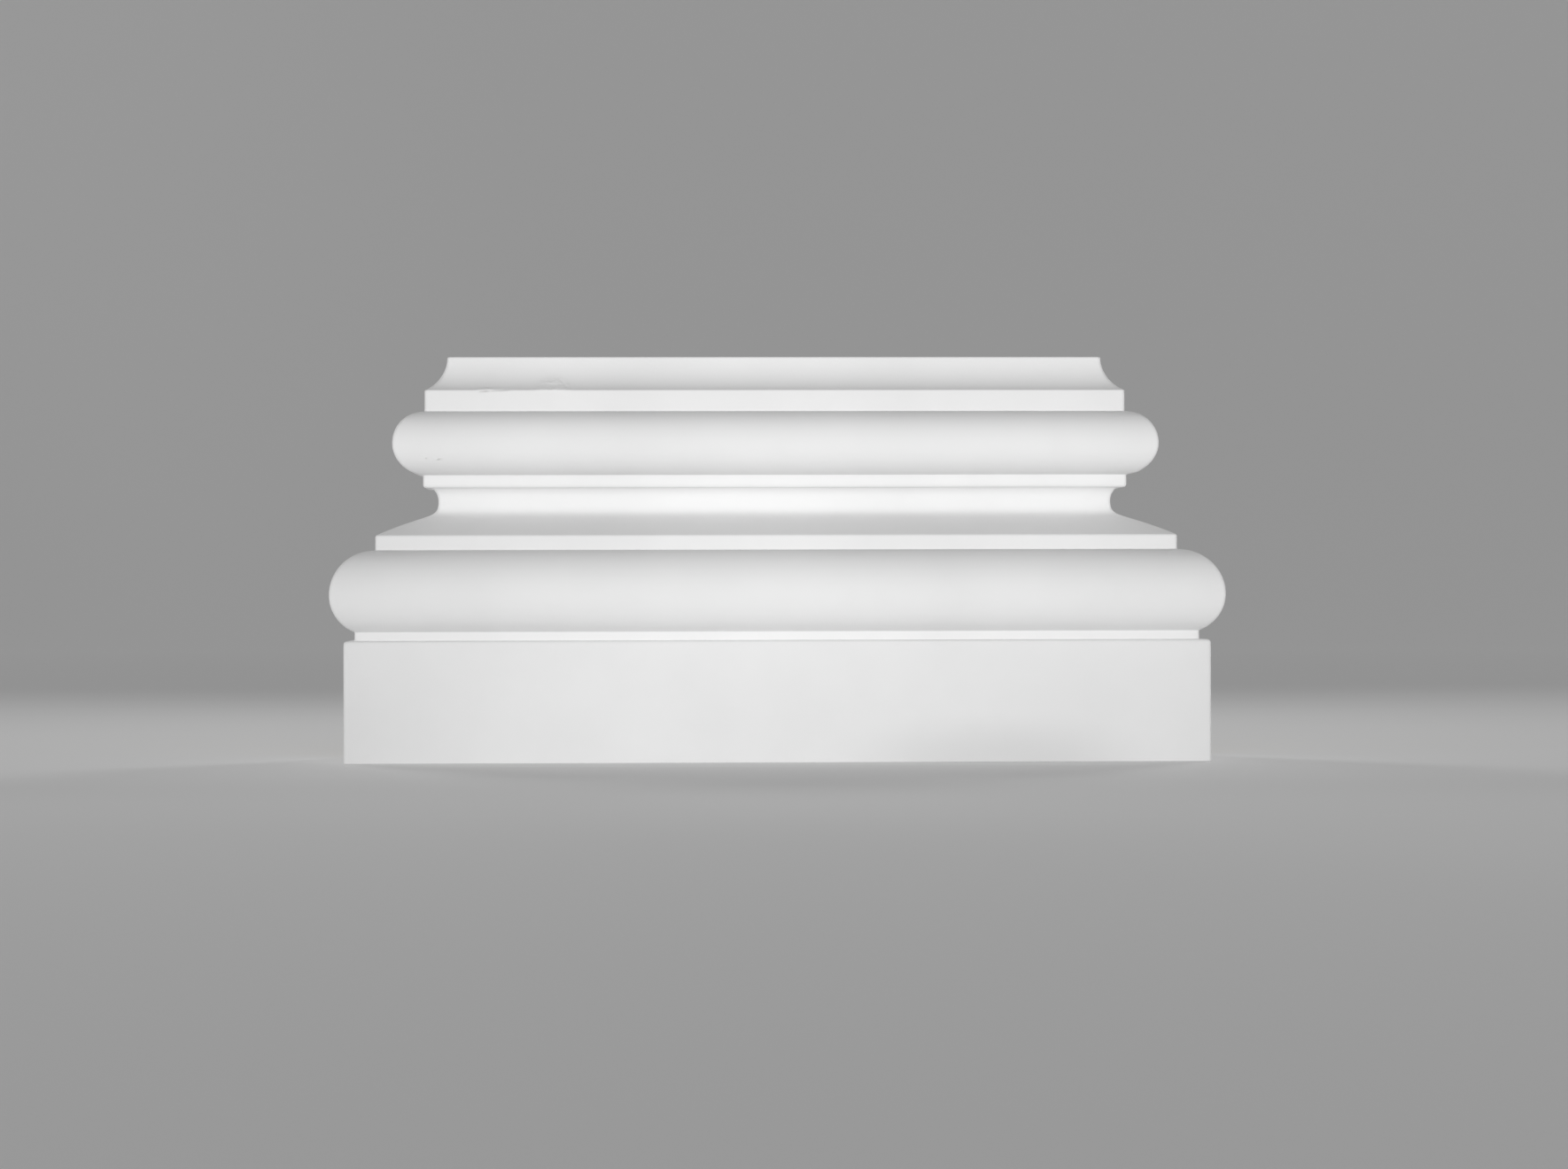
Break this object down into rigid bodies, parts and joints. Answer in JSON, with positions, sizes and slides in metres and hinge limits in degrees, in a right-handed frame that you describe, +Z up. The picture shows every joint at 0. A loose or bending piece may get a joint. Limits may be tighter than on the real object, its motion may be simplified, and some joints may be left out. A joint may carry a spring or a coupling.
{
  "type": "pilaster base",
  "caption": "White moulded pilaster base: plinth, torus, scotia and torus mouldings rise to a flat seat for the shaft, with a flat back for a wall.",
  "frame": {"origin": "middle of the underside's bounding box, on the floor under the base", "axes": "+X along the base's width, to the right seen from the front; -Y out of the moulded front, +Y into the wall; +Z up"},
  "size_m": [0.2732, 0.0566, 0.1255],
  "materials": {
    "primer": "matte"
  },
  "bodies": {
    "root": {"pilaster_base": "primer"}
  },
  "joints": []
}
